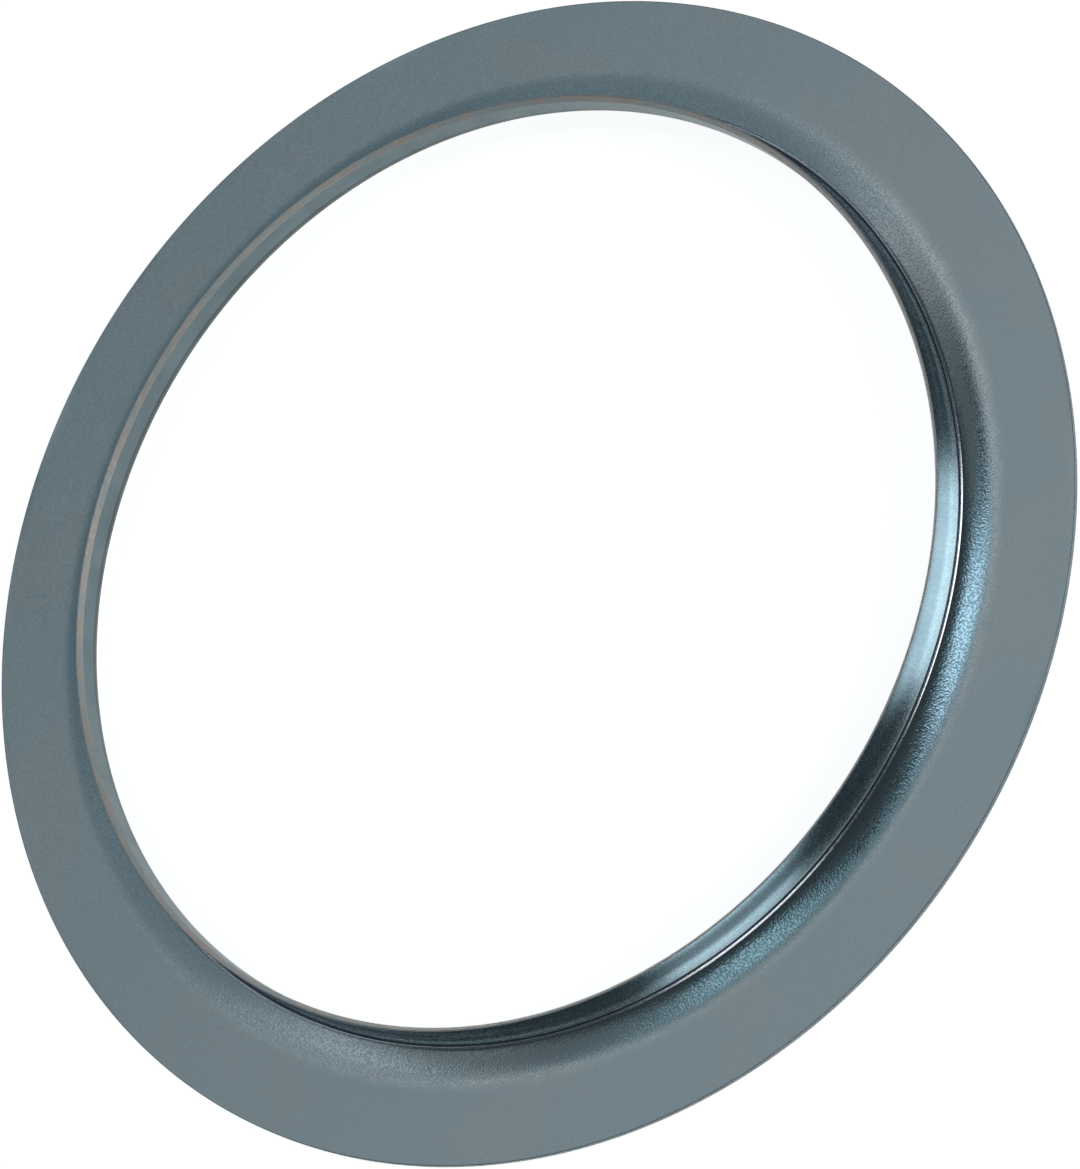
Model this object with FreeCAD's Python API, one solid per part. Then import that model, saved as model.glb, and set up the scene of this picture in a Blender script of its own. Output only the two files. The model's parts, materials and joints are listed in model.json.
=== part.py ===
import FreeCAD, Part
import math
import os

# Toilet flange ring: one pressing of zinc-plated sheet steel. A wide flat flange lies round
# a bore, and a short collar stands up from the flange round that bore.
#
# Frame: +Z is the bore's axis and points the way the collar stands. The origin is on that axis
# in the plane of the flange's flat back face. Lengths are in millimetres.

# Driving dimensions
FLANGE_DIAMETER = 178.0         # outside of the flat flange, seven inches
SHEET_THICKNESS = 0.8
COLLAR_OUTSIDE_DIAMETER = 142.4
COLLAR_HEIGHT = 7.0             # from the flange's front face to the tip of the rim
BEND_START_DIAMETER = 155.8     # where the flat flange begins to rise towards the collar
CREASE_DIAMETER = 143.6         # where the rising bend meets the foot of the collar
CREASE_HEIGHT = 1.35            # of that crease above the flange's front face
WALL_FOOT_HEIGHT = 4.0          # the collar flares out below this height over the front face
HEEL_RADIUS = 3.2               # rounded corner between the bore and the back of the bend
RIM_SLOPE_DEGREES = 45.0        # the sheared rim slopes down into the bore
FRONT_EDGE_RADIUS = 0.25        # rolled-over front corner of the blanked outer edge
BACK_EDGE_RADIUS = 0.1          # back corner of the same edge

# Radii and heights that follow from the driving dimensions
FRONT_FACE = SHEET_THICKNESS
FLANGE_RADIUS = FLANGE_DIAMETER / 2
COLLAR_RADIUS = COLLAR_OUTSIDE_DIAMETER / 2
BORE_RADIUS = COLLAR_RADIUS - SHEET_THICKNESS
BEND_START_RADIUS = BEND_START_DIAMETER / 2
CREASE_RADIUS = CREASE_DIAMETER / 2
RIM_TIP = FRONT_FACE + COLLAR_HEIGHT
RIM_INNER_EDGE = RIM_TIP - SHEET_THICKNESS * math.tan(math.radians(RIM_SLOPE_DEGREES))


def point(radius, height):
    """A point of the section, in the XZ plane."""
    return FreeCAD.Vector(radius, 0, height)


def line(start, end):
    return Part.makeLine(start, end)


def arc(centre, start, end):
    """The shorter arc about centre from start to end."""
    size = (start - centre).Length
    towards_middle = (start - centre) + (end - centre)
    middle = centre + towards_middle.normalize() * size
    return Part.Arc(start, middle, end).toShape()


def bend_centre():
    """Centre of the wide bend: the arc leaves the front face level and reaches the crease."""
    run = BEND_START_RADIUS - CREASE_RADIUS
    radius = (run ** 2 + CREASE_HEIGHT ** 2) / (2 * CREASE_HEIGHT)
    return point(BEND_START_RADIUS, FRONT_FACE + radius)


def foot_centre():
    """Centre of the flared foot: the arc leaves the straight wall and reaches the crease."""
    flare = CREASE_RADIUS - COLLAR_RADIUS
    drop = WALL_FOOT_HEIGHT - CREASE_HEIGHT
    radius = (flare ** 2 + drop ** 2) / (2 * flare)
    return point(COLLAR_RADIUS + radius, FRONT_FACE + WALL_FOOT_HEIGHT)


def heel_centre():
    """Centre of the heel: its arc is tangent to the bore and to the back of the wide bend."""
    bend = bend_centre()
    across = bend.x - (BORE_RADIUS + HEEL_RADIUS)
    between_centres = bend.z - HEEL_RADIUS
    return point(BORE_RADIUS + HEEL_RADIUS, bend.z - math.sqrt(between_centres ** 2 - across ** 2))


def section():
    """The closed outline of the sheet, cut on a half plane through the axis."""
    bend = bend_centre()
    heel = heel_centre()

    back_outer = point(FLANGE_RADIUS - BACK_EDGE_RADIUS, 0)
    edge_bottom = point(FLANGE_RADIUS, BACK_EDGE_RADIUS)
    edge_top = point(FLANGE_RADIUS, FRONT_FACE - FRONT_EDGE_RADIUS)
    front_outer = point(FLANGE_RADIUS - FRONT_EDGE_RADIUS, FRONT_FACE)
    front_inner = point(BEND_START_RADIUS, FRONT_FACE)
    crease = point(CREASE_RADIUS, FRONT_FACE + CREASE_HEIGHT)
    wall_foot = point(COLLAR_RADIUS, FRONT_FACE + WALL_FOOT_HEIGHT)
    rim_outer = point(COLLAR_RADIUS, RIM_TIP)
    rim_inner = point(BORE_RADIUS, RIM_INNER_EDGE)
    bore_foot = point(BORE_RADIUS, heel.z)
    heel_end = bend + (heel - bend).normalize() * bend.z
    back_inner = point(BEND_START_RADIUS, 0)

    edges = [
        arc(point(back_outer.x, BACK_EDGE_RADIUS), back_outer, edge_bottom),
        line(edge_bottom, edge_top),
        arc(point(front_outer.x, edge_top.z), edge_top, front_outer),
        line(front_outer, front_inner),
        arc(bend, front_inner, crease),
        arc(foot_centre(), crease, wall_foot),
        line(wall_foot, rim_outer),
        line(rim_outer, rim_inner),
        line(rim_inner, bore_foot),
        arc(heel, bore_foot, heel_end),
        arc(bend, heel_end, back_inner),
        line(back_inner, back_outer),
    ]
    return Part.Face(Part.Wire(edges))


def flange_ring():
    """The section turned once round the bore's axis."""
    return section().revolve(FreeCAD.Vector(0, 0, 0), FreeCAD.Vector(0, 0, 1), 360)


def report(ring):
    box = ring.optimalBoundingBox()
    print("valid", ring.isValid(), "solids", len(ring.Solids), "volume mm3", round(ring.Volume, 1))
    print("box", round(box.XLength, 3), round(box.YLength, 3), round(box.ZMin, 4), round(box.ZMax, 4))
    print("bore from", round(heel_centre().z, 4), "to", round(RIM_INNER_EDGE, 4), "radius", BORE_RADIUS)
    print("collar from", FRONT_FACE + WALL_FOOT_HEIGHT, "to", RIM_TIP, "radius", COLLAR_RADIUS)


os.makedirs("parts", exist_ok=True)
ring_shape = flange_ring()
ring_shape.exportStep("parts/flange_ring.step")
report(ring_shape)
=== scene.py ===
"""Toilet flange ring, pressed from zinc-plated sheet steel, shown in a plain studio.

The pressing is one closed skin. Its section is drawn once, from the blanked outer edge over the
flat face and the drawn bend to the collar, round the sheared rim, and back along the underside.
That section is carried round the bore, and each zone of the skin gets its own zinc finish.
The bead at the crease is coloured as a painted highlight, and the groove, bore and heel as
painted shade.
"""

import json
import logging
import math
from dataclasses import dataclass
from enum import Enum
from typing import Any

import bpy
import numpy as np
from mathutils import Matrix, Vector


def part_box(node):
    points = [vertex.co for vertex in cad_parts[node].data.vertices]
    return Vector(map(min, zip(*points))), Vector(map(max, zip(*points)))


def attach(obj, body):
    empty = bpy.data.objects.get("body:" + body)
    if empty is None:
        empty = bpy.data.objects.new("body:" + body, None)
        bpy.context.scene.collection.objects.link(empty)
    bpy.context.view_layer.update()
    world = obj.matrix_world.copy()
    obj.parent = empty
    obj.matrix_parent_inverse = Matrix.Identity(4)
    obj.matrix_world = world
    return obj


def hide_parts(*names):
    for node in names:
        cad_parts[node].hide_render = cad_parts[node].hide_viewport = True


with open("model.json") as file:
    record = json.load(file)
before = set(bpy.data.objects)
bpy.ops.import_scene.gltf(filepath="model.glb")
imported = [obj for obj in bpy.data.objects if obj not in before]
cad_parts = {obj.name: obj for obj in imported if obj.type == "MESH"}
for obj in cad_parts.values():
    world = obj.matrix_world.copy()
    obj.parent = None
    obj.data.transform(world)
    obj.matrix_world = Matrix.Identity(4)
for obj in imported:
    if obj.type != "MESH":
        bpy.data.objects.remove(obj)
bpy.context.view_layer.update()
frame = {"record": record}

LOG = logging.getLogger("flange_ring")
MM = 0.001
RING_NODE = "flange_ring"
RING_BODY = "root"

Colour = tuple[float, float, float]
Socket = bpy.types.NodeSocket


class Zone(Enum):
    """The zones of the pressing's skin, in the order of its material slots."""

    FACE = 0
    CREASE = 1
    GROOVE = 2
    WALL = 3
    RIM = 4
    BORE = 5
    HEEL = 6
    BACK = 7
    BLANKED_EDGE = 8


# ------------------------------------------------------------------ the pressing's shape


@dataclass(frozen=True)
class RingSizes:
    """Sizes of the pressing in metres, worked out from the frame where the frame holds them.

    The crease has a bead outside it and a fine groove between that bead and the collar's foot.
    The groove's points lie at shares of its width and depth. The lip of the rim rises by a share
    of rim_round, and support is the width of the narrow faces that keep the corners' shading crisp.
    """

    outer_radius: float
    collar_radius: float
    bore_radius: float
    tip_height: float
    bend_start_radius: float = 77.9 * MM
    crease_radius: float = 71.8 * MM
    crease_rise: float = 1.35 * MM
    foot_rise: float = 4.0 * MM
    heel_radius: float = 3.2 * MM
    rim_slope: float = math.radians(45.0)
    bead_width: float = 0.3 * MM
    bead_height: float = 0.12 * MM
    groove_width: float = 0.3 * MM
    groove_depth: float = 0.06 * MM
    groove_outer_share: float = 0.8
    groove_floor_outer_share: float = 0.35
    groove_floor_inner_share: float = 0.1
    groove_inner_depth_share: float = 0.6
    groove_join_share: float = 0.2
    front_edge_round: float = 0.12 * MM
    back_edge_round: float = 0.1 * MM
    rim_round: float = 0.09 * MM
    rim_lip_share: float = 0.4
    support: float = 0.12 * MM

    @property
    def sheet(self) -> float:
        """Thickness of the sheet."""
        return self.collar_radius - self.bore_radius

    @property
    def bend_centre(self) -> np.ndarray:
        """Finds the centre of the drawn bend, which leaves the face level and rises to the crease.

        Returns:
            Its radius and height.
        """
        run = self.bend_start_radius - self.crease_radius
        radius = (run**2 + self.crease_rise**2) / (2 * self.crease_rise)
        return np.array([self.bend_start_radius, self.sheet + radius])

    @property
    def foot_centre(self) -> np.ndarray:
        """Finds the centre of the wall's flared foot, which leaves the straight wall downwards.

        Returns:
            Its radius and height.
        """
        flare = self.crease_radius - self.collar_radius
        drop = self.foot_rise - self.crease_rise
        radius = (flare**2 + drop**2) / (2 * flare)
        return np.array([self.collar_radius + radius, self.sheet + self.foot_rise])

    @property
    def heel_centre(self) -> np.ndarray:
        """Finds the centre of the heel between the bore and the back of the bend.

        Returns:
            Its radius and height.
        """
        bend = self.bend_centre
        radius = self.bore_radius + self.heel_radius
        between = bend[1] - self.heel_radius
        return np.array([radius, bend[1] - math.sqrt(between**2 - (bend[0] - radius) ** 2)])


def ring_sizes(record: dict[str, Any], low: Vector, high: Vector) -> RingSizes:
    """Reads the ring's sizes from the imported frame.

    Args:
        record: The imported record, whose mounts give the collar's two radii.
        low: The ring's lowest corner in metres.
        high: The ring's highest corner in metres.

    Returns:
        The sizes, kept just inside the ring's packed box.
    """
    radii = {m["name"]: m["dims"].get("r_mm", 0.0) * MM for m in record["mounts"]}
    return RingSizes(
        outer_radius=min(high.x, high.y, -low.x, -low.y),
        collar_radius=radii["collar_outside"],
        bore_radius=radii["collar_bore"],
        tip_height=high.z,
    )


class Outline:
    """A closed section drawn as stretches, each a line or an arc with the zone it belongs to."""

    def __init__(self, start: tuple[float, float]) -> None:
        """Starts the outline at a radius and a height."""
        self.points: list[np.ndarray] = [np.array(start)]
        self.zones: list[Zone] = []

    def line(self, end: tuple[float, float], steps: int, zone: Zone) -> None:
        """Draws a straight stretch.

        Args:
            end: Radius and height where the stretch ends.
            steps: How many faces it has along the section.
            zone: The zone of those faces.
        """
        start = self.points[-1]
        for share in np.linspace(0, 1, steps + 1)[1:]:
            self.points.append(start + (np.array(end) - start) * share)
            self.zones.append(zone)

    def arc(self, centre: np.ndarray, end: tuple[float, float], steps: int, zone: Zone) -> None:
        """Draws the shorter arc about a centre.

        Args:
            centre: Radius and height of the arc's centre.
            end: Radius and height where the arc ends.
            steps: How many faces it has along the section.
            zone: The zone of those faces.
        """
        spoke = self.points[-1] - centre
        last = np.array(end) - centre
        start_angle = math.atan2(spoke[1], spoke[0])
        turn = math.atan2(last[1], last[0]) - start_angle
        turn = (turn + math.pi) % (2 * math.pi) - math.pi
        radius = float(np.hypot(*spoke))
        for share in np.linspace(0, 1, steps + 1)[1:]:
            angle = start_angle + turn * share
            self.points.append(centre + radius * np.array([math.cos(angle), math.sin(angle)]))
            self.zones.append(zone)

    def close(self, steps: int, zone: Zone) -> None:
        """Draws a straight stretch back to the start, without repeating that point."""
        self.line(tuple(self.points[0]), steps, zone)
        self.points.pop()

    def share_of(self, zone: Zone) -> np.ndarray:
        """Works out how much of a zone's relief each point takes.

        Args:
            zone: The zone that has the relief.

        Returns:
            One for each point inside the zone, and none at its ends and elsewhere.
        """
        zones = np.array([z is zone for z in self.zones])
        return (zones & np.roll(zones, 1)).astype(float)


@dataclass(frozen=True)
class FaceCounts:
    """How many faces each stretch of the section has."""

    back_corner: int = 3
    blanked_edge: int = 4
    front_corner: int = 4
    flat: int = 11
    bend: int = 22
    bead: int = 6
    groove_flank: int = 2
    foot: int = 10
    wall: int = 8
    rim_tip: int = 3
    rim_slope: int = 6
    rim_lip: int = 2
    bore: int = 8
    heel: int = 9
    back_of_bend: int = 9
    back_of_flat: int = 7


class RingSection(Outline):
    """The pressing's section, from the back of the blanked edge round and back again.

    It runs so that the metal lies on its left.
    """

    def __init__(self, sizes: RingSizes) -> None:
        """Draws the whole section.

        Args:
            sizes: The ring's sizes.
        """
        super().__init__((sizes.outer_radius - sizes.back_edge_round, 0.0))
        self.sizes = sizes
        self.counts = FaceCounts()
        self.draw_blanked_edge()
        self.draw_front_face()
        self.draw_crease()
        self.draw_wall()
        self.draw_rim()
        self.draw_bore()
        self.draw_back()

    def draw_blanked_edge(self) -> None:
        """Draws the outer edge, with its back corner and its rolled-over front corner."""
        s = self.sizes
        back_round = np.array([s.outer_radius - s.back_edge_round, s.back_edge_round])
        front_round = np.array([s.outer_radius - s.front_edge_round, s.sheet - s.front_edge_round])
        edge = Zone.BLANKED_EDGE
        self.arc(back_round, (s.outer_radius, back_round[1]), self.counts.back_corner, edge)
        self.line((s.outer_radius, front_round[1]), self.counts.blanked_edge, edge)
        self.arc(front_round, (front_round[0], s.sheet), self.counts.front_corner, edge)

    def on_bend(self, radius: float) -> tuple[float, float]:
        """Finds the point of the bend's front face at a radius.

        Args:
            radius: The radius in metres.

        Returns:
            The radius and the face's height there.
        """
        bend = self.sizes.bend_centre
        bend_radius = bend[1] - self.sizes.sheet
        return radius, bend[1] - math.sqrt(bend_radius**2 - (bend[0] - radius) ** 2)

    def draw_front_face(self) -> None:
        """Draws the flat face and the drawn bend, up to the bead at the crease."""
        s = self.sizes
        bead_outer = s.crease_radius + s.groove_width * s.groove_outer_share + s.bead_width
        self.line((s.outer_radius - s.front_edge_round - s.support, s.sheet), 1, Zone.FACE)
        self.line((s.bend_start_radius, s.sheet), self.counts.flat, Zone.FACE)
        self.arc(s.bend_centre, self.on_bend(bead_outer), self.counts.bend, Zone.FACE)

    def draw_crease(self) -> None:
        """Draws the bead, then the groove down to its floor and up to the collar's foot."""
        s = self.sizes
        bead_outer = s.crease_radius + s.groove_width * s.groove_outer_share + s.bead_width
        for share in np.linspace(0, 1, self.counts.bead + 1)[1:]:
            radius, height = self.on_bend(bead_outer - s.bead_width * share)
            swell = s.bead_height * math.sin(math.pi / 2 * share)
            self.line((radius, height + swell), 1, Zone.CREASE)
        crease_height = s.sheet + s.crease_rise
        floor_outer = s.crease_radius + s.groove_width * s.groove_floor_outer_share
        floor_inner = s.crease_radius + s.groove_width * s.groove_floor_inner_share
        inner_depth = s.groove_depth * s.groove_inner_depth_share
        flank = self.counts.groove_flank
        self.line((floor_outer, crease_height - s.groove_depth), flank, Zone.GROOVE)
        self.line((floor_inner, crease_height - inner_depth), 1, Zone.GROOVE)
        foot = s.foot_centre
        foot_radius = foot[0] - s.collar_radius
        join_height = crease_height + s.groove_width * s.groove_join_share
        join_radius = foot[0] - math.sqrt(foot_radius**2 - (foot[1] - join_height) ** 2)
        self.line((join_radius, join_height), flank, Zone.GROOVE)

    def draw_wall(self) -> None:
        """Draws the flared foot and the straight outside of the collar."""
        s = self.sizes
        foot = s.foot_centre
        self.arc(foot, (s.collar_radius, foot[1]), self.counts.foot, Zone.WALL)
        top = s.tip_height - s.rim_round
        self.line((s.collar_radius, top - s.support), self.counts.wall, Zone.WALL)
        self.line((s.collar_radius, top), 1, Zone.WALL)

    def draw_rim(self) -> None:
        """Draws the sheared rim, from its rounded tip down its slope to the bore."""
        s = self.sizes
        inner_height = s.tip_height - s.sheet * math.tan(s.rim_slope)
        tip = np.array([s.collar_radius - s.rim_round, s.tip_height - s.rim_round])
        lean_in = s.rim_round * math.sin(s.rim_slope)
        lean_up = s.rim_round * math.cos(s.rim_slope)
        self.arc(tip, (tip[0] - lean_in, tip[1] + lean_up), self.counts.rim_tip, Zone.RIM)
        lip = (s.bore_radius + s.rim_round, inner_height + s.rim_lip_share * s.rim_round)
        self.line(lip, self.counts.rim_slope, Zone.RIM)
        self.line((s.bore_radius, inner_height - s.rim_round), self.counts.rim_lip, Zone.RIM)

    def draw_bore(self) -> None:
        """Draws the straight bore, down to the heel."""
        s = self.sizes
        top = s.tip_height - s.sheet * math.tan(s.rim_slope) - s.rim_round
        self.line((s.bore_radius, top - s.support), 1, Zone.BORE)
        self.line((s.bore_radius, s.heel_centre[1]), self.counts.bore, Zone.BORE)

    def draw_back(self) -> None:
        """Draws the heel, the back of the bend and the flat back."""
        bend, heel = self.sizes.bend_centre, self.sizes.heel_centre
        outward = (heel - bend) / np.hypot(*(heel - bend))
        self.arc(heel, tuple(bend + outward * bend[1]), self.counts.heel, Zone.HEEL)
        self.arc(bend, (bend[0], 0.0), self.counts.back_of_bend, Zone.BACK)
        self.close(self.counts.back_of_flat, Zone.BACK)


@dataclass(frozen=True)
class Relief:
    """Seeded waves in the surface of the sheet, the same in every run.

    Each wave's length lies between the two shares of the stated wavelength.
    """

    seed: int
    wavelength: float
    height: float
    waves: int = 36
    shortest: float = 0.7
    longest: float = 1.5

    def over(self, angles: np.ndarray, lengths: np.ndarray, radius: float) -> np.ndarray:
        """Adds up the waves over a grid.

        Args:
            angles: Angles round the bore, one for each column of the grid.
            lengths: Lengths along the section, one for each row.
            radius: Radius at which the waves have their stated length.

        Returns:
            Heights in metres, one for each angle and length, closed round the bore.
        """
        draw = np.random.default_rng(self.seed)
        total = np.zeros((len(angles), len(lengths)))
        for _ in range(self.waves):
            heading = draw.uniform(0, math.pi)
            number = 2 * math.pi / (self.wavelength * draw.uniform(self.shortest, self.longest))
            around = round(number * math.cos(heading) * radius)
            along = number * math.sin(heading)
            phase = draw.uniform(0, 2 * math.pi)
            total += np.cos(around * angles[:, None] + along * lengths[None, :] + phase)
        return total * self.height / math.sqrt(self.waves / 2)


@dataclass
class FlangeRing:
    """The whole part: one pressing with a flat flange, a drawn bend and a short collar.

    The drawn bend's peel begins peel_lead outside the bend, grows to its full height over the
    bend's width divided by peel_growth, and ends peel_stop outside the crease. Points lower than
    peel_floor_share of the sheet's thickness have none.
    """

    sizes: RingSizes
    segments: int = 820
    face_swell: Relief = Relief(seed=11, wavelength=26 * MM, height=0.006 * MM)
    bend_peel: Relief = Relief(seed=23, wavelength=3.4 * MM, height=0.001 * MM, waves=60)
    rim_tear: Relief = Relief(seed=37, wavelength=1.6 * MM, height=0.012 * MM, waves=60)
    peel_lead: float = 1.2 * MM
    peel_growth: float = 1.6
    peel_stop: float = 0.5 * MM
    peel_floor_share: float = 0.9

    def grid(self, outline: Outline) -> np.ndarray:
        """Carries the outline round the bore, with the relief of its zones.

        Args:
            outline: The closed section.

        Returns:
            Points in metres, one for each segment and point of the section.
        """
        s = self.sizes
        points = np.array(outline.points)
        ahead, behind = np.roll(points, -1, axis=0), np.roll(points, 1, axis=0)
        along = ahead - behind
        normals = np.stack([along[:, 1], -along[:, 0]], axis=1)
        normals /= np.hypot(normals[:, 0], normals[:, 1])[:, None]
        steps = np.hypot(*(points - behind).T)
        lengths = np.cumsum(steps) - steps[0]
        angles = np.arange(self.segments) * 2 * math.pi / self.segments

        swell = self.face_swell.over(angles, lengths, s.outer_radius)
        peel = self.bend_peel.over(angles, lengths, s.crease_radius)
        tear = self.rim_tear.over(angles, lengths, s.collar_radius)
        height = swell * outline.share_of(Zone.FACE)
        height += peel * self.bend_share(points)
        height += tear * outline.share_of(Zone.RIM)

        radius = points[:, 0] + normals[:, 0] * height
        level = points[:, 1] + normals[:, 1] * height
        radius = np.minimum(radius, s.outer_radius)
        level = np.clip(level, 0.0, s.tip_height)
        across = radius * np.cos(angles)[:, None]
        away = radius * np.sin(angles)[:, None]
        return np.stack([across, away, level], axis=2)

    def bend_share(self, points: np.ndarray) -> np.ndarray:
        """Works out how much of the drawn bend's peel each point takes.

        Args:
            points: Radii and heights of the section's points.

        Returns:
            Shares that rise from 0 on the flat to 1 on the bend, and are 0 elsewhere.
        """
        s = self.sizes
        bend_width = s.bend_start_radius - s.crease_radius
        run = (s.bend_start_radius + self.peel_lead - points[:, 0]) / bend_width
        outside_crease = points[:, 0] > s.crease_radius + self.peel_stop
        above_floor = points[:, 1] > s.sheet * self.peel_floor_share
        return np.clip(run * self.peel_growth, 0, 1) * outside_crease * above_floor

    def build(self) -> bpy.types.Object:
        """Makes the ring's closed mesh and its object.

        Returns:
            The new object, with one material index for each zone.
        """
        section = RingSection(self.sizes)
        grid = self.grid(section)
        around, along = grid.shape[:2]
        index = np.arange(around * along).reshape(around, along)
        right = np.roll(index, -1, axis=0)
        corners = [index, right, np.roll(right, -1, axis=1), np.roll(index, -1, axis=1)]
        faces = np.stack(corners, axis=2)
        mesh = bpy.data.meshes.new("flange_ring_skin")
        mesh.from_pydata(grid.reshape(-1, 3).tolist(), [], faces.reshape(-1, 4).tolist())
        slots = np.tile([z.value for z in section.zones], around)
        mesh.polygons.foreach_set("material_index", slots.astype(np.int32))
        mesh.shade_smooth()
        mesh.update()
        piece = bpy.data.objects.new("pressed_flange_ring", mesh)
        bpy.context.scene.collection.objects.link(piece)
        LOG.info("pressed_flange_ring: %d points, %d faces", len(mesh.vertices), len(mesh.polygons))
        return piece

    def dress(self, piece: bpy.types.Object, finishes: "ZincFinishes") -> None:
        """Gives each zone of the skin its finish.

        Args:
            piece: The ring's object.
            finishes: The finishes, one for each zone.
        """
        for zone in Zone:
            piece.data.materials.append(finishes.for_zone(zone, self.sizes))
        LOG.info("dressed %s in %d finishes", piece.name, len(Zone))


# ------------------------------------------------------------------ the zinc finishes


class NodeBoard:
    """A material's node tree, with short calls for the nodes that the finishes use."""

    def __init__(self, name: str) -> None:
        """Makes an empty material, with a shader, its output and the object's coordinates.

        Args:
            name: The material's name.
        """
        self.material = bpy.data.materials.new(name)
        self.material.use_nodes = True
        self.tree = self.material.node_tree
        self.tree.nodes.clear()
        self.shader = self.tree.nodes.new("ShaderNodeBsdfPrincipled")
        output = self.tree.nodes.new("ShaderNodeOutputMaterial")
        self.join(self.shader.outputs["BSDF"], output.inputs["Surface"])
        self.place = self.tree.nodes.new("ShaderNodeTexCoord").outputs["Object"]

    def join(self, source: Socket, target: Socket) -> None:
        """Links one socket to another."""
        self.tree.links.new(source, target)

    def noise(self, size: float, detail: float = 2.0) -> Socket:
        """Adds a noise pattern.

        Args:
            size: Length of its largest feature in metres.
            detail: How many finer octaves it has.

        Returns:
            Its value, about 0.5 on average.
        """
        node = self.tree.nodes.new("ShaderNodeTexNoise")
        node.inputs["Scale"].default_value = 1 / size
        node.inputs["Detail"].default_value = detail
        self.join(self.place, node.inputs["Vector"])
        return node.outputs["Fac"]

    def spread(
        self,
        value: Socket,
        low: float,
        high: float,
        from_low: float = 0.3,
        from_high: float = 0.7,
    ) -> Socket:
        """Maps a value smoothly from one range to another.

        Args:
            value: The value to map.
            low: Result at and below from_low.
            high: Result at and above from_high.
            from_low: Where the range starts.
            from_high: Where it ends.

        Returns:
            The mapped value.
        """
        node = self.tree.nodes.new("ShaderNodeMapRange")
        node.interpolation_type = "SMOOTHSTEP"
        node.inputs["From Min"].default_value = from_low
        node.inputs["From Max"].default_value = from_high
        node.inputs["To Min"].default_value = low
        node.inputs["To Max"].default_value = high
        self.join(value, node.inputs["Value"])
        return node.outputs["Result"]

    def math(self, kind: str, first: Socket, second: Any) -> Socket:
        """Adds a calculation with two values.

        Args:
            kind: The operation's name, such as ADD or MULTIPLY.
            first: The first value.
            second: The second value, a socket or a number.

        Returns:
            The result.
        """
        node = self.tree.nodes.new("ShaderNodeMath")
        node.operation = kind
        self.join(first, node.inputs[0])
        if isinstance(second, (int, float)):
            node.inputs[1].default_value = second
        else:
            self.join(second, node.inputs[1])
        return node.outputs[0]

    def blend(self, share: Socket, first: Any, second: Any) -> Socket:
        """Mixes two colours or two values.

        Args:
            share: How much of the second one shows.
            first: A colour, a number or a socket.
            second: Another of the same kind.

        Returns:
            The mix, a colour if either of them is a colour.
        """
        kinds = {type(first), type(second)}
        coloured = tuple in kinds or any(getattr(x, "type", "") == "RGBA" for x in (first, second))
        kind = "RGBA" if coloured else "VALUE"
        node = self.tree.nodes.new("ShaderNodeMix")
        node.data_type = "RGBA" if coloured else "FLOAT"
        for name, value in (("A", first), ("B", second)):
            socket = next(i for i in node.inputs if i.name == name and i.type == kind)
            if isinstance(value, Socket):
                self.join(value, socket)
            else:
                socket.default_value = (*value, 1.0) if coloured else value
        self.join(share, node.inputs["Factor"])
        return next(o for o in node.outputs if o.type == kind)

    def bump(self, height: Socket, depth: float, under: Socket | None = None) -> Socket:
        """Adds fine relief.

        Args:
            height: The relief, from 0 to 1.
            depth: Its depth in metres.
            under: An earlier bump's normal to add it to, or None.

        Returns:
            The normal.
        """
        node = self.tree.nodes.new("ShaderNodeBump")
        node.inputs["Distance"].default_value = depth
        node.inputs["Strength"].default_value = 1.0
        self.join(height, node.inputs["Height"])
        if under is not None:
            self.join(under, node.inputs["Normal"])
        return node.outputs["Normal"]

    def radius(self) -> Socket:
        """Measures how far the shaded point is from the bore's axis.

        Returns:
            The distance in metres.
        """
        flat = self.tree.nodes.new("ShaderNodeVectorMath")
        flat.operation = "MULTIPLY"
        flat.inputs[1].default_value = (1, 1, 0)
        self.join(self.place, flat.inputs[0])
        length = self.tree.nodes.new("ShaderNodeVectorMath")
        length.operation = "LENGTH"
        self.join(flat.outputs[0], length.inputs[0])
        return length.outputs["Value"]

    def finish(self, colour: Socket, roughness: Socket, normal: Socket, metallic: float) -> None:
        """Joins a finish to the shader.

        Args:
            colour: Its colour.
            roughness: Its roughness.
            normal: Its relief's normal.
            metallic: How much of it is metal, from 0 to 1.
        """
        self.join(colour, self.shader.inputs["Base Color"])
        self.join(roughness, self.shader.inputs["Roughness"])
        self.join(normal, self.shader.inputs["Normal"])
        self.shader.inputs["Metallic"].default_value = metallic


@dataclass(frozen=True)
class SatinZinc:
    """Satin zinc on flat sheet: matt, finely speckled, with faint clouds."""

    name: str = "satin_zinc"
    light: Colour = (0.5, 0.59, 0.62)
    dark: Colour = (0.44, 0.57, 0.64)
    speck: Colour = (0.39, 0.48, 0.52)
    cloud: float = 28 * MM
    roughness: float = 0.36
    roughness_swing: float = 0.05
    grain: float = 0.3 * MM
    grain_depth: float = 0.006 * MM

    def colour(self, board: NodeBoard) -> Socket:
        """Adds the speckled and clouded colour to a board.

        Args:
            board: The board of the material that takes it.

        Returns:
            The colour.
        """
        clouds = board.blend(board.spread(board.noise(self.cloud, 3), 0, 1), self.dark, self.light)
        specks = board.spread(board.noise(self.grain, 3), 0, 1, 0.35, 0.65)
        return board.blend(specks, self.speck, clouds)

    def rough(self, board: NodeBoard, speckle: Socket) -> Socket:
        """Adds the roughness, which follows the speckle."""
        low, high = self.roughness - self.roughness_swing, self.roughness + self.roughness_swing
        return board.spread(speckle, low, high)

    def material(self) -> bpy.types.Material:
        """Makes the finish.

        Returns:
            The material.
        """
        board = NodeBoard(self.name)
        speckle = board.noise(self.grain)
        colour = self.colour(board)
        rough = self.rough(board, speckle)
        board.finish(colour, rough, board.bump(speckle, self.grain_depth), metallic=1.0)
        return board.material


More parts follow.
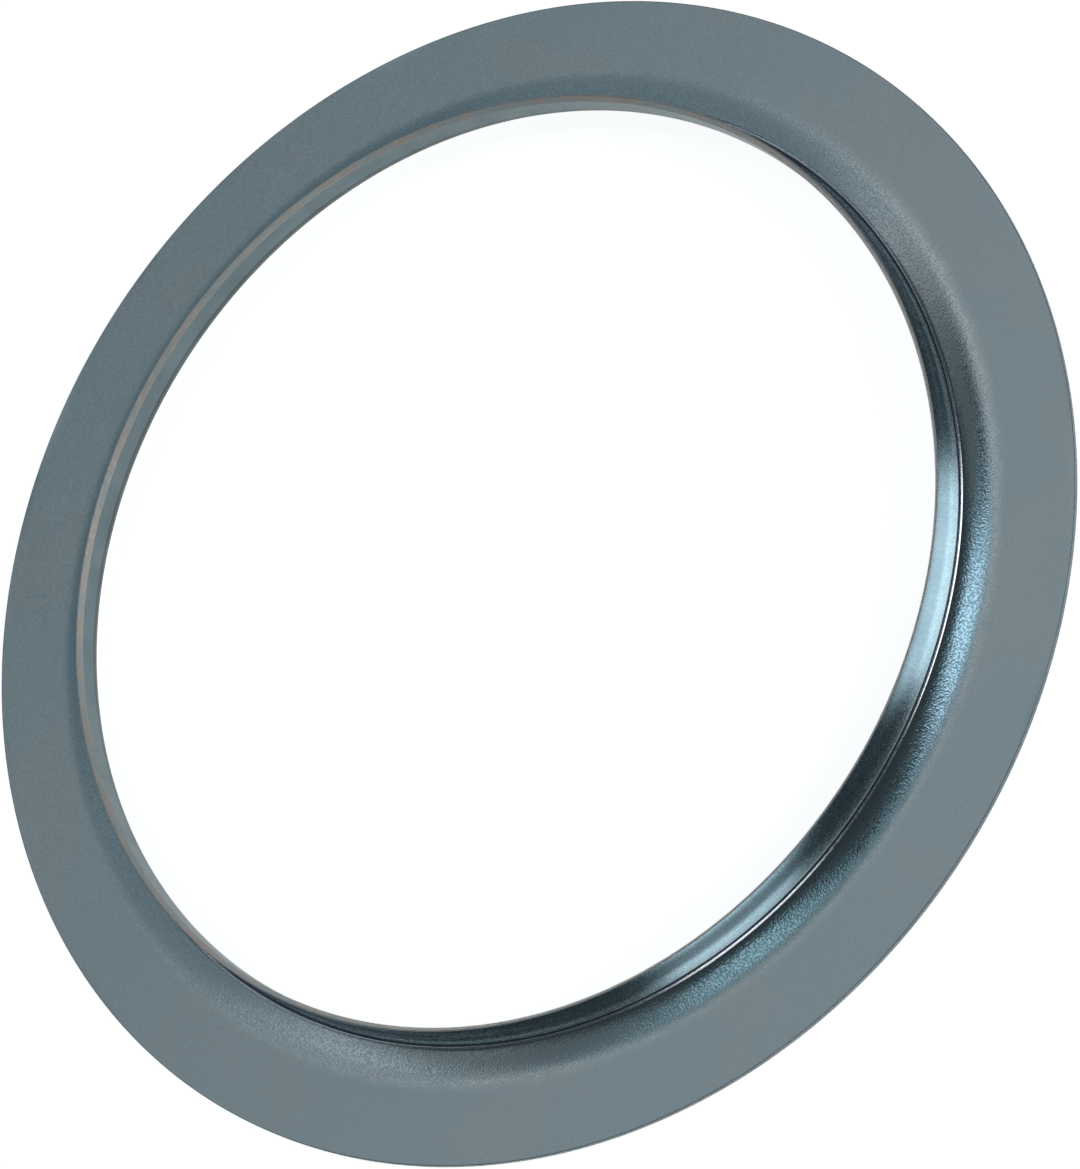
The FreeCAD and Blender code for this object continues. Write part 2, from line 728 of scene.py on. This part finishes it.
@dataclass(frozen=True)
class DrawnZinc:
    """Zinc on the flange's face: satin on the flat, and an orange peel on the drawn bend.

    The satin gives way to the peel along a ragged line, from fade_outside to fade_inside of the
    bend's start.
    """

    satin: SatinZinc = SatinZinc()
    name: str = "drawn_zinc"
    crest: Colour = (0.48, 0.585, 0.635)
    valley: Colour = (0.355, 0.46, 0.51)
    crest_roughness: float = 0.1
    valley_roughness: float = 0.22
    peel: float = 0.3 * MM
    peel_depth: float = 0.015 * MM
    fade_outside: float = 1.4 * MM
    fade_inside: float = 2.0 * MM
    rag: float = 3 * MM
    rag_reach: float = 1.2 * MM

    def drawn_share(self, board: NodeBoard, start: float) -> Socket:
        """Adds the share of the peel, from 0 on the flat to 1 on the bend.

        Args:
            board: The board of the material that takes it.
            start: Radius in metres at which the bend starts.

        Returns:
            The share.
        """
        rag = board.math("MULTIPLY", board.noise(self.rag), self.rag_reach)
        ragged = board.math("ADD", board.radius(), rag)
        return board.spread(ragged, 1, 0, start - self.fade_inside, start + self.fade_outside)

    def material(self, sizes: RingSizes) -> bpy.types.Material:
        """Makes the finish.

        Args:
            sizes: The ring's sizes, which place the bend.

        Returns:
            The material.
        """
        board = NodeBoard(self.name)
        speckle = board.noise(self.satin.grain)
        peel = board.noise(self.peel, 1.5)
        crests = board.spread(peel, 0, 1, 0.38, 0.62)
        drawn = self.drawn_share(board, sizes.bend_start_radius)
        peeled = board.blend(crests, self.valley, self.crest)
        colour = board.blend(drawn, self.satin.colour(board), peeled)
        peel_rough = board.blend(crests, self.valley_roughness, self.crest_roughness)
        rough = board.blend(drawn, self.satin.rough(board, speckle), peel_rough)
        fine = board.bump(speckle, self.satin.grain_depth)
        relief = board.bump(board.math("MULTIPLY", peel, drawn), self.peel_depth, fine)
        board.finish(colour, rough, relief, metallic=1.0)
        return board.material


@dataclass(frozen=True)
class BurnishedZincAndPaintedLight:
    """Zinc rubbed smooth by the tool: glossy, with faint clouds and fine rub marks.

    The crease, groove, bore and heel use it with colours that paint light and shade: a light
    colour for the painted highlight on the bead, and dark colours for the painted shade in the
    groove, the bore and the heel.
    """

    name: str = "burnished_zinc"
    light: Colour = (0.5, 0.6, 0.64)
    dark: Colour = (0.44, 0.55, 0.59)
    cloud: float = 6 * MM
    roughness: float = 0.22
    smoother: float = 0.05
    rougher: float = 0.06
    mark: float = 0.3 * MM
    mark_depth: float = 0.004 * MM

    def material(self) -> bpy.types.Material:
        """Makes the finish.

        Returns:
            The material.
        """
        board = NodeBoard(self.name)
        marks = board.noise(self.mark)
        clouds = board.spread(board.noise(self.cloud, 3), 0, 1)
        colour = board.blend(clouds, self.dark, self.light)
        rough = board.spread(marks, self.roughness - self.smoother, self.roughness + self.rougher)
        board.finish(colour, rough, board.bump(marks, self.mark_depth), metallic=1.0)
        return board.material


@dataclass(frozen=True)
class ShearedSteel:
    """A sheared edge: torn, with warm bare patches and bright glints between thin zinc."""

    name: str = "sheared_edge"
    warm: Colour = (0.4, 0.38, 0.36)
    cool: Colour = (0.34, 0.38, 0.38)
    patch: float = 4 * MM
    least_roughness: float = 0.3
    most_roughness: float = 0.65
    metallic: float = 0.2
    tear: float = 0.35 * MM
    tear_depth: float = 0.02 * MM

    def material(self) -> bpy.types.Material:
        """Makes the finish.

        Returns:
            The material.
        """
        board = NodeBoard(self.name)
        tears = board.noise(self.tear, 3)
        patches = board.spread(board.noise(self.patch, 3), 0, 1, 0.42, 0.58)
        colour = board.blend(patches, self.warm, self.cool)
        rough = board.spread(tears, self.least_roughness, self.most_roughness)
        board.finish(colour, rough, board.bump(tears, self.tear_depth), self.metallic)
        return board.material


@dataclass(frozen=True)
class ZincFinishes:
    """Every finish of the ring."""

    face: DrawnZinc = DrawnZinc()
    # Painted highlight: the bead at the crease is coloured far lighter than the zinc around it, so
    # that it shows as a white line.
    crease: BurnishedZincAndPaintedLight = BurnishedZincAndPaintedLight(
        name="crease_painted_highlight", light=(0.78, 0.84, 0.9), dark=(0.68, 0.74, 0.8), roughness=0.2
    )
    # Painted shade: the groove between the bead and the collar's foot is coloured near black, for
    # the shade in that corner.
    groove: BurnishedZincAndPaintedLight = BurnishedZincAndPaintedLight(
        name="groove_painted_shade", light=(0.1, 0.13, 0.18), dark=(0.07, 0.09, 0.13), roughness=0.35
    )
    wall: BurnishedZincAndPaintedLight = BurnishedZincAndPaintedLight()
    rim: ShearedSteel = ShearedSteel()
    # Painted shade: the bore inside the collar is coloured far darker than the zinc, for the shade
    # inside the collar.
    bore: BurnishedZincAndPaintedLight = BurnishedZincAndPaintedLight(
        name="bore_painted_shade", light=(0.15, 0.2, 0.215), dark=(0.12, 0.165, 0.18), roughness=0.4
    )
    # Painted shade: the heel at the foot of the bore is coloured near black, for the reflection of
    # the shade under the ring.
    heel: BurnishedZincAndPaintedLight = BurnishedZincAndPaintedLight(
        name="heel_painted_shade", light=(0.09, 0.12, 0.12), dark=(0.07, 0.09, 0.09), roughness=0.4
    )
    back: SatinZinc = SatinZinc(name="back_zinc", light=(0.44, 0.53, 0.57), dark=(0.4, 0.49, 0.53))
    blanked: ShearedSteel = ShearedSteel(
        name="blanked_edge", warm=(0.21, 0.25, 0.26), cool=(0.18, 0.23, 0.25), metallic=0.8
    )

    def for_zone(self, zone: Zone, sizes: RingSizes) -> bpy.types.Material:
        """Makes the finish of one zone.

        Args:
            zone: The zone of the skin.
            sizes: The ring's sizes.

        Returns:
            The material.
        """
        if zone is Zone.FACE:
            return self.face.material(sizes)
        finishes = {
            Zone.CREASE: self.crease,
            Zone.GROOVE: self.groove,
            Zone.WALL: self.wall,
            Zone.RIM: self.rim,
            Zone.BORE: self.bore,
            Zone.HEEL: self.heel,
            Zone.BACK: self.back,
            Zone.BLANKED_EDGE: self.blanked,
        }
        return finishes[zone].material()


# ------------------------------------------------------------------ the studio


@dataclass(frozen=True)
class SoftPanel:
    """A softbox that faces the ring, placed and sized by the angles at which the ring sees it.

    Lean, bearing, heading, length and width are in degrees, and the distance is in metres.
    """

    name: str
    lean: float
    bearing: float
    length: float
    width: float
    brightness: float
    heading: float | None = None
    tint: Colour = (1.0, 1.0, 1.0)
    distance: float = 2.5

    def hang(self) -> None:
        """Makes the panel's lamp and aims it at the ring.

        The lean is in degrees from straight overhead, and the bearing in degrees round from the
        right. The length runs along the heading, which is the bearing unless it is given.
        """
        lamp = bpy.data.lights.new(self.name, "AREA")
        lamp.shape = "RECTANGLE"
        lamp.size = 2 * self.distance * math.tan(math.radians(self.width / 2))
        lamp.size_y = 2 * self.distance * math.tan(math.radians(self.length / 2))
        lamp.color = self.tint
        lamp.energy = self.brightness * math.pi * lamp.size * lamp.size_y
        lean, bearing = math.radians(self.lean), math.radians(self.bearing)
        heading = bearing if self.heading is None else math.radians(self.heading)
        out = Vector((math.cos(bearing), math.sin(bearing), 0)) * math.sin(lean)
        away = out + Vector((0, 0, math.cos(lean)))
        along = Vector((math.cos(heading), math.sin(heading), 0))
        along = (along - away * along.dot(away)).normalized()
        turn = Matrix((along.cross(away), along, away)).transposed().to_4x4()
        holder = bpy.data.objects.new(self.name, lamp)
        holder.matrix_world = Matrix.Translation(away * self.distance) @ turn
        bpy.context.scene.collection.objects.link(holder)
        LOG.info("panel %s", self.name)


@dataclass(frozen=True)
class Studio:
    """A pale floor, a soft surround and softboxes."""

    floor_size: float = 8.0
    floor_colour: Colour = (0.9, 0.9, 0.9)
    floor_roughness: float = 0.9
    floor_glow: float = 0.9
    surround: float = 0.058
    surround_tint: Colour = (0.75, 0.93, 1.0)
    panels: tuple[SoftPanel, ...] = (
        SoftPanel("overhead_right", 13.3, 37, 20, 8, 1.75, heading=113, tint=(0.66, 0.88, 1.0)),
        SoftPanel("overhead_left", 13.1, 145, 21, 7.5, 0.82, heading=66, tint=(0.64, 0.92, 1.0)),
        SoftPanel("rear_sheet", 44.5, 90, 41, 140, 0.175, tint=(0.7, 0.9, 1.0)),
        SoftPanel("rear_top", 29, 86, 14, 110, 0.26, tint=(1.0, 0.87, 0.81)),
        SoftPanel("rear_middle", 28, 84, 12, 30, 0.36, tint=(1.0, 0.86, 0.79)),
        SoftPanel("rear_right", 50, 42, 36, 48, 0.08, tint=(1.0, 0.94, 0.9)),
        SoftPanel("rear_left", 50, 138, 36, 48, 0.08, tint=(1.0, 0.94, 0.9)),
        SoftPanel("side_right", 32, 16, 22, 14, 0.1, tint=(0.9, 0.96, 1.0)),
        SoftPanel("side_left", 31, 150, 24, 22, 0.13, tint=(0.9, 0.96, 1.0)),
        SoftPanel("front_right", 71, -49, 34, 38, 2.0),
        SoftPanel("front_right_low", 84, -49, 11, 38, 1.1),
        SoftPanel("front_right_blue", 75, -20, 28, 16, 0.03, tint=(0.4, 0.7, 1.0)),
        SoftPanel("front_left", 68, -124, 28, 29, 0.45),
        SoftPanel("front_left_low", 84, -124, 11, 29, 2.1),
        SoftPanel("front_left_top", 53, -124, 6, 26, 3.0),
    )

    def lay_floor(self) -> None:
        """Lays the floor under the ring, in a pale finish that glows a little from within."""
        half = self.floor_size / 2
        mesh = bpy.data.meshes.new("studio_floor")
        corners = [(-half, -half, 0), (half, -half, 0), (half, half, 0), (-half, half, 0)]
        mesh.from_pydata(corners, [], [(0, 1, 2, 3)])
        board = NodeBoard("pale_floor")
        board.shader.inputs["Base Color"].default_value = (*self.floor_colour, 1.0)
        board.shader.inputs["Roughness"].default_value = self.floor_roughness
        board.shader.inputs["Emission Color"].default_value = (*self.floor_colour, 1.0)
        board.shader.inputs["Emission Strength"].default_value = self.floor_glow
        mesh.materials.append(board.material)
        floor = bpy.data.objects.new("studio_floor", mesh)
        bpy.context.scene.collection.objects.link(floor)
        LOG.info("laid the floor")

    def light(self) -> None:
        """Sets the surround's brightness and hangs the panels."""
        world = bpy.data.worlds.new("studio_surround")
        world.use_nodes = True
        background = world.node_tree.nodes["Background"]
        background.inputs["Color"].default_value = (*self.surround_tint, 1.0)
        background.inputs["Strength"].default_value = self.surround
        bpy.context.scene.world = world
        for panel in self.panels:
            panel.hang()
        bpy.context.scene.view_settings.view_transform = "Standard"


@dataclass(frozen=True)
class CameraStand:
    """A camera far off with a long lens, high on the ring's front side and rolled over.

    Half the ring's length fills half_span of the sensor's width, the aim is moved aim_nearer of
    the ring's radius towards its near side, and the sensor is in millimetres.
    """

    elevation: float = math.radians(55.1)
    roll: float = math.radians(57.4)
    distance_in_radii: float = 10.0
    half_span: float = 0.5256
    aim_nearer: float = 0.0029
    sensor: float = 36.0
    nearest: float = 0.01
    farthest: float = 50.0

    def stand(self, sizes: RingSizes) -> None:
        """Places the camera and aims it so that the ring fills the frame.

        Args:
            sizes: The ring's sizes.
        """
        reach = self.distance_in_radii
        lean_sine, lean_cosine = math.cos(self.elevation), math.sin(self.elevation)
        centre = Vector((0, 0, sizes.sheet))
        back = Vector((0, -lean_sine, lean_cosine))
        up = Vector((0, lean_cosine, lean_sine))
        place = centre + back * (reach * sizes.outer_radius)
        near_side_grows = reach * lean_sine * lean_cosine / (reach**2 - lean_sine**2)
        aim = centre - up * ((near_side_grows + self.aim_nearer) * sizes.outer_radius)
        turn = (place - aim).to_track_quat("Z", "Y").to_matrix().to_4x4()
        camera = bpy.data.cameras.new("studio_camera")
        camera.sensor_width = self.sensor
        camera.lens = self.sensor * self.half_span * math.sqrt(reach**2 - 1)
        camera.clip_start = self.nearest
        camera.clip_end = self.farthest
        holder = bpy.data.objects.new("studio_camera", camera)
        holder.matrix_world = Matrix.Translation(place) @ turn @ Matrix.Rotation(-self.roll, 4, "Z")
        bpy.context.scene.collection.objects.link(holder)
        bpy.context.scene.camera = holder
        LOG.info("camera with a %.0f mm lens", camera.lens)


# ------------------------------------------------------------------ putting it together


def main() -> None:
    """Builds and dresses the ring, then sets up the studio and the camera."""
    logging.basicConfig(level=logging.INFO, format="%(name)s: %(message)s")
    sizes = ring_sizes(frame["record"], *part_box(RING_NODE))
    ring = FlangeRing(sizes)
    piece = ring.build()
    ring.dress(piece, ZincFinishes())
    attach(piece, RING_BODY)
    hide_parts(RING_NODE)
    studio = Studio()
    studio.lay_floor()
    studio.light()
    CameraStand().stand(sizes)


if __name__ == "__main__":
    main()
